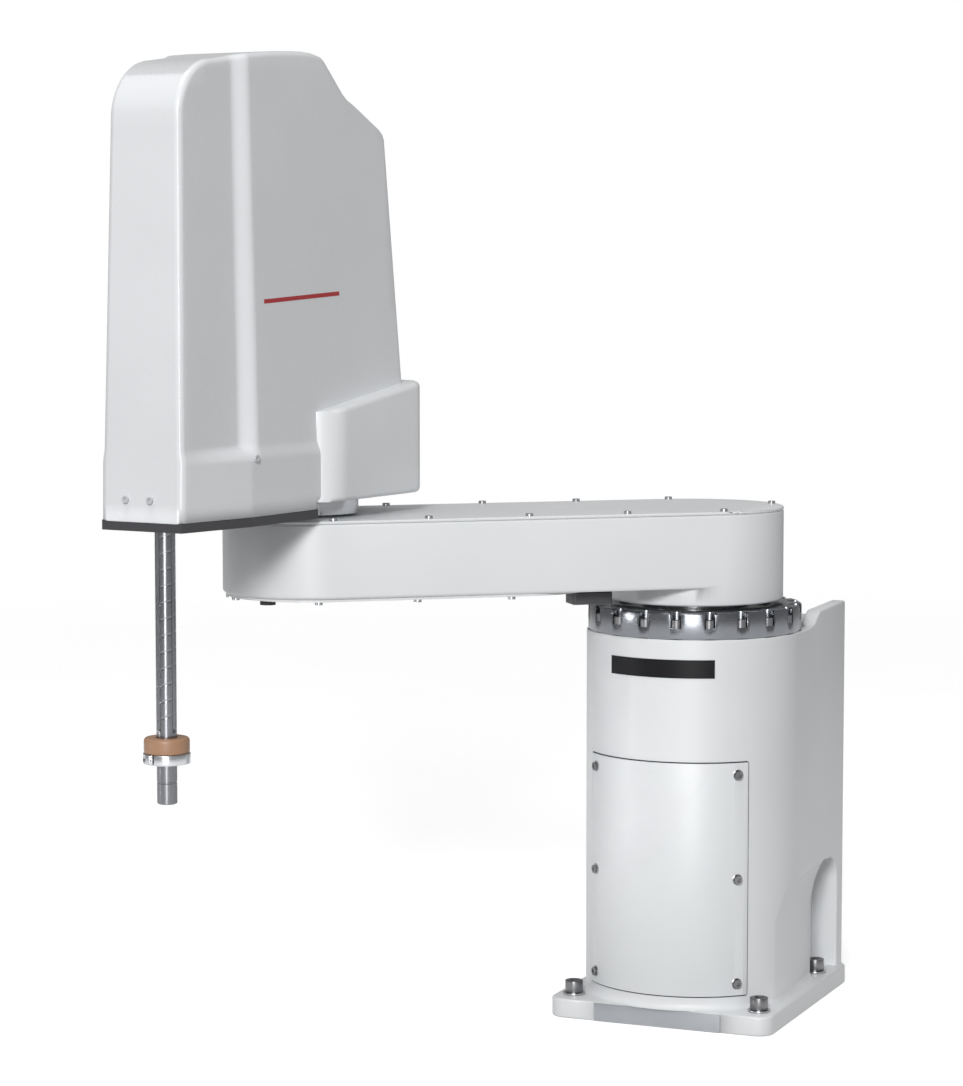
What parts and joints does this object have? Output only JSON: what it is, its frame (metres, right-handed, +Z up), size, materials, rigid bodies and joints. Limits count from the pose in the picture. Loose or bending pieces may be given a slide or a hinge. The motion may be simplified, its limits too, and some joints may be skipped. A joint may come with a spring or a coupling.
{
  "type": "scara robot arm",
  "caption": "Four-axis SCARA robot arm: bolted column base, two horizontal links, tall hood and a lifting, rotating hollow tool shaft.",
  "frame": {"origin": "where the first joint's vertical axis meets the mounting face", "axes": "+Z up, -Y the front of the column with the service cover, +X to the right seen from the front"},
  "size_m": [0.681, 0.9561, 1.288],
  "materials": {
    "light_paint": "satin light grey powder coat on a cast aluminium body",
    "cover_paint": "satin light grey powder coat on sheet metal",
    "hood_shell": "light grey moulded cover, semi-gloss",
    "dark_paint": "dark grey, matt",
    "polished_steel": "ground and polished steel",
    "zinc_steel": "plated steel fasteners and clamps",
    "panel_sheet": "milled and plain aluminium",
    "bearing_steel": "hardened steel, ground",
    "pulley_metal": "hard anodised aluminium",
    "motor_black": "black motor housing",
    "connector_plastic": "black connector plastic",
    "black_rubber": "black rubber",
    "damper_urethane": "orange-brown polyurethane",
    "board_green": "green circuit board"
  },
  "bodies": {
    "base": {"base_casting": "light_paint", "front_cover": "cover_paint", "base_cover_screws": "zinc_steel", "label_plate": "dark_paint", "base_bolts": "zinc_steel", "base_washers": "zinc_steel", "crown_ring": "polished_steel", "crown_ring_bolts": "zinc_steel", "connector_panel": "panel_sheet", "power_connector": "connector_plastic", "signal_connector": "connector_plastic", "air_couplings": "connector_plastic", "j1_motor_mount": "panel_sheet", "j1_motor": "motor_black", "j1_circular_spline": "bearing_steel", "j1_bearing_outer": "bearing_steel"},
    "j1_rotor": {"j1_motor_shaft": "bearing_steel", "j1_wave_generator": "bearing_steel"},
    "arm1": {"arm1_casting": "light_paint", "arm1_top_cover": "light_paint", "arm1_screws": "zinc_steel", "arm1_bottom_cover": "light_paint", "arm1_plug": "black_rubber", "arm1_stop_lug": "dark_paint", "j1_flexspline": "bearing_steel", "j1_bearing_inner": "bearing_steel", "j2_circular_spline": "bearing_steel", "j2_bearing_outer": "bearing_steel"},
    "arm2": {"arm2_casting": "light_paint", "arm2_base_plate": "dark_paint", "hood": "hood_shell", "hood_screws": "zinc_steel", "j2_hub": "polished_steel", "j2_bearing_inner": "bearing_steel", "j2_flexspline": "bearing_steel", "j2_motor": "motor_black", "motor_frame": "panel_sheet", "lift_motor_bracket": "panel_sheet", "roll_motor": "motor_black", "lift_motor": "motor_black", "lift_brake": "motor_black", "roll_belt": "black_rubber", "lift_belt": "black_rubber", "roll_bearing": "bearing_steel", "lift_bearing": "bearing_steel", "circuit_board": "board_green", "shaft_wiper": "black_rubber"},
    "j2_rotor": {"j2_motor_shaft": "bearing_steel", "j2_wave_generator": "bearing_steel"},
    "roll_drive": {"roll_motor_rotor": "bearing_steel"},
    "lift_drive": {"lift_motor_rotor": "bearing_steel"},
    "spline_drive": {"spline_nut": "bearing_steel", "roll_pulley": "pulley_metal"},
    "screw_drive": {"screw_nut": "bearing_steel", "lift_pulley": "pulley_metal"},
    "tool_shaft": {"spline_shaft": "polished_steel", "stopper_collar": "zinc_steel", "collar_screw": "zinc_steel", "damper_ring": "damper_urethane", "upper_stop": "zinc_steel"}
  },
  "joints": [
    {"name": "j1", "type": "hinge", "parent": "base", "child": "arm1", "pos_m": [0, 0, 0.556], "axis": [0, 0, 1], "range_deg": [-119, 221]},
    {"name": "j2", "type": "hinge", "parent": "arm1", "child": "arm2", "pos_m": [-0.408, -0.33039, 0.69], "axis": [0, 0, 1], "range_deg": [-193.3, 106.7]},
    {"name": "shaft_roll", "type": "hinge", "parent": "arm2", "child": "spline_drive", "pos_m": [-0.45155, -0.65246, 0.73], "axis": [0, 0, 1], "range_deg": [-360, 360]},
    {"name": "shaft_lift", "type": "slide", "parent": "spline_drive", "child": "tool_shaft", "axis": [0, 0, 1], "range_m": [-0.1, 0.25]},
    {"name": "screw_spin", "type": "hinge", "parent": "spline_drive", "child": "screw_drive", "pos_m": [-0.45155, -0.65246, 0.8], "axis": [0, 0, 1], "continuous": true},
    {"name": "lift_motor_spin", "type": "hinge", "parent": "arm2", "child": "lift_drive", "pos_m": [-0.43681, -0.54346, 0.82], "axis": [0, 0, 1], "continuous": true},
    {"name": "roll_motor_spin", "type": "hinge", "parent": "arm2", "child": "roll_drive", "pos_m": [-0.42274, -0.4394, 0.74], "axis": [0, 0, 1], "continuous": true},
    {"name": "j1_motor_spin", "type": "hinge", "parent": "base", "child": "j1_rotor", "pos_m": [0, 0, 0.45], "axis": [0, 0, 1], "continuous": true},
    {"name": "j2_motor_spin", "type": "hinge", "parent": "arm2", "child": "j2_rotor", "pos_m": [-0.408, -0.33039, 0.65], "axis": [0, 0, 1], "continuous": true}
  ],
  "couplings": [
    {"joint": "screw_spin", "follows": "shaft_lift", "rad_per_m": 314.16},
    {"joint": "lift_motor_spin", "follows": "shaft_lift", "rad_per_m": 502.65},
    {"joint": "roll_motor_spin", "follows": "shaft_roll", "ratio": 1.6},
    {"joint": "j1_motor_spin", "follows": "j1", "ratio": -80},
    {"joint": "j2_motor_spin", "follows": "j2", "ratio": -50}
  ]
}
